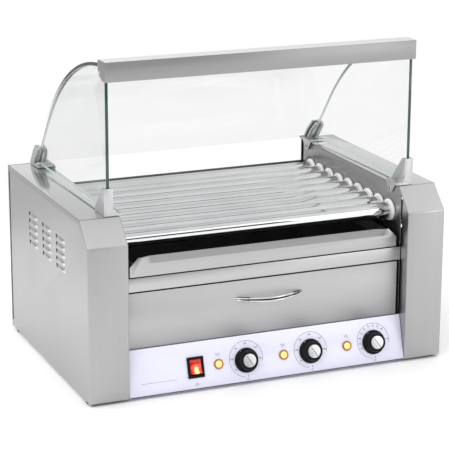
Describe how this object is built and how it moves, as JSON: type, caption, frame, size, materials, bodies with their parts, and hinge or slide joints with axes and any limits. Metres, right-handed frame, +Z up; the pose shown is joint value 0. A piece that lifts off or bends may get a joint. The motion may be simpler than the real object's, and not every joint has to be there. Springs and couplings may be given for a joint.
{
  "type": "hot dog roller grill",
  "caption": "Counter-top sausage roller grill: turning heated rollers over a drip tray, a warming drawer, a sloping control panel and an open-fronted curved glass hood.",
  "frame": {"origin": "on the surface that the feet stand on, below the middle of the whole machine's bounding box", "axes": "+X along the rollers towards the drive box, +Y from the operator's side to the back, +Z up"},
  "size_m": [0.587, 0.41, 0.501],
  "materials": {
    "box_steel": "fine vertical and horizontal brushing, nearly polished on top",
    "stainless": "fine horizontal brushing, satin",
    "plate_steel": "bright polished stainless sheet",
    "roller_chrome": "mirror polished tube",
    "handle_chrome": "bright plated casting",
    "cast_chrome": "plated casting, slightly soft edges",
    "glass": "5 mm toughened float glass with polished green edges",
    "white_bush": "white PTFE, slightly waxy",
    "printed_panel": "pale lavender printed overlay with thin black lines",
    "black_plastic": "moulded black, satin with gloss edges",
    "rubber": "matte black rubber",
    "amber_lens": "translucent amber dome, lit",
    "red_rocker": "translucent red, lit from inside",
    "dark_steel": "oiled dark steel",
    "motor_paint": "dark grey enamel",
    "bakelite": "brown moulded thermoset",
    "disc_aluminium": "spun aluminium disc",
    "screw_steel": "bright zinc or stainless screw heads"
  },
  "bodies": {
    "body": {"back_panel": "box_steel", "base_pan": "stainless", "cable_gland": "black_plastic", "control_panel": "printed_panel", "drawer_heater": "dark_steel", "drive_chain": "dark_steel", "foot_front_left": "rubber", "foot_front_right": "rubber", "foot_rear_left": "rubber", "foot_rear_right": "rubber", "front_rail": "stainless", "gear_motor": "motor_paint", "heat_lamp_1": "amber_lens", "heat_lamp_2": "amber_lens", "heat_lamp_3": "amber_lens", "heater_bank": "dark_steel", "hood_top_bar": "stainless", "left_bush_strip": "white_bush", "left_front_clamp": "cast_chrome", "left_housing": "box_steel", "left_inner_plate": "plate_steel", "left_rear_clamp": "cast_chrome", "left_side_glass": "glass", "power_switch_body": "black_plastic", "rear_curved_glass": "glass", "right_bush_1": "white_bush", "right_bush_2": "white_bush", "right_bush_3": "white_bush", "right_bush_4": "white_bush", "right_bush_5": "white_bush", "right_bush_6": "white_bush", "right_bush_7": "white_bush", "right_bush_8": "white_bush", "right_bush_9": "white_bush", "right_front_clamp": "cast_chrome", "right_housing": "box_steel", "right_inner_plate": "plate_steel", "right_rear_clamp": "cast_chrome", "right_side_glass": "glass", "thermostat_1": "bakelite", "thermostat_2": "bakelite", "thermostat_3": "bakelite"},
    "roller_1": {"roller_1": "roller_chrome"},
    "roller_2": {"roller_2": "roller_chrome"},
    "roller_3": {"roller_3": "roller_chrome"},
    "roller_4": {"roller_4": "roller_chrome"},
    "roller_5": {"roller_5": "roller_chrome"},
    "roller_6": {"roller_6": "roller_chrome"},
    "roller_7": {"roller_7": "roller_chrome"},
    "roller_8": {"roller_8": "roller_chrome"},
    "roller_9": {"roller_9": "roller_chrome"},
    "motor_output": {"motor_sprocket": "dark_steel"},
    "drip_tray": {"drip_tray": "stainless"},
    "drawer": {"drawer_tray": "stainless", "drawer_front": "stainless", "drawer_handle": "handle_chrome"},
    "knob_1": {"knob_1": "black_plastic"},
    "knob_2": {"knob_2": "black_plastic"},
    "knob_3": {"knob_3": "black_plastic"},
    "rocker": {"power_switch_rocker": "red_rocker"}
  },
  "joints": [
    {"name": "roller_1_spin", "type": "hinge", "parent": "body", "child": "roller_1", "pos_m": [0, -0.1363, 0.2315], "axis": [1, 0, 0], "continuous": true},
    {"name": "roller_2_spin", "type": "hinge", "parent": "body", "child": "roller_2", "pos_m": [0, -0.1011, 0.2315], "axis": [1, 0, 0], "continuous": true},
    {"name": "roller_3_spin", "type": "hinge", "parent": "body", "child": "roller_3", "pos_m": [0, -0.0659, 0.2315], "axis": [1, 0, 0], "continuous": true},
    {"name": "roller_4_spin", "type": "hinge", "parent": "body", "child": "roller_4", "pos_m": [0, -0.0307, 0.2315], "axis": [1, 0, 0], "continuous": true},
    {"name": "roller_5_spin", "type": "hinge", "parent": "body", "child": "roller_5", "pos_m": [0, 0.0045, 0.2315], "axis": [1, 0, 0], "continuous": true},
    {"name": "roller_6_spin", "type": "hinge", "parent": "body", "child": "roller_6", "pos_m": [0, 0.0397, 0.2315], "axis": [1, 0, 0], "continuous": true},
    {"name": "roller_7_spin", "type": "hinge", "parent": "body", "child": "roller_7", "pos_m": [0, 0.0749, 0.2315], "axis": [1, 0, 0], "continuous": true},
    {"name": "roller_8_spin", "type": "hinge", "parent": "body", "child": "roller_8", "pos_m": [0, 0.1101, 0.2315], "axis": [1, 0, 0], "continuous": true},
    {"name": "roller_9_spin", "type": "hinge", "parent": "body", "child": "roller_9", "pos_m": [0, 0.1453, 0.2315], "axis": [1, 0, 0], "continuous": true},
    {"name": "motor_spin", "type": "hinge", "parent": "body", "child": "motor_output", "pos_m": [0.24, 0.0087, 0.112], "axis": [1, 0, 0], "continuous": true},
    {"name": "drip_tray_slide", "type": "slide", "parent": "body", "child": "drip_tray", "axis": [0, -1, 0], "range_m": [0, 0.3]},
    {"name": "drawer_slide", "type": "slide", "parent": "body", "child": "drawer", "axis": [0, -1, 0], "range_m": [0, 0.27]},
    {"name": "knob_1_turn", "type": "hinge", "parent": "body", "child": "knob_1", "pos_m": [-0.0376, -0.18705, 0.03649], "axis": [0, 0.9607, -0.2777], "range_deg": [0, 270]},
    {"name": "knob_2_turn", "type": "hinge", "parent": "body", "child": "knob_2", "pos_m": [0.0694, -0.18705, 0.03649], "axis": [0, 0.9607, -0.2777], "range_deg": [0, 270]},
    {"name": "knob_3_turn", "type": "hinge", "parent": "body", "child": "knob_3", "pos_m": [0.1768, -0.18705, 0.03649], "axis": [0, 0.9607, -0.2777], "range_deg": [0, 270]},
    {"name": "rocker_tilt", "type": "hinge", "parent": "body", "child": "rocker", "pos_m": [-0.12, -0.18369, 0.03552], "axis": [1, 0, 0], "range_deg": [0, 18]}
  ],
  "couplings": [
    {"joint": "roller_2_spin", "follows": "roller_1_spin", "ratio": 1},
    {"joint": "roller_3_spin", "follows": "roller_1_spin", "ratio": 1},
    {"joint": "roller_4_spin", "follows": "roller_1_spin", "ratio": 1},
    {"joint": "roller_5_spin", "follows": "roller_1_spin", "ratio": 1},
    {"joint": "roller_6_spin", "follows": "roller_1_spin", "ratio": 1},
    {"joint": "roller_7_spin", "follows": "roller_1_spin", "ratio": 1},
    {"joint": "roller_8_spin", "follows": "roller_1_spin", "ratio": 1},
    {"joint": "roller_9_spin", "follows": "roller_1_spin", "ratio": 1},
    {"joint": "motor_spin", "follows": "roller_1_spin", "ratio": 1.25}
  ]
}
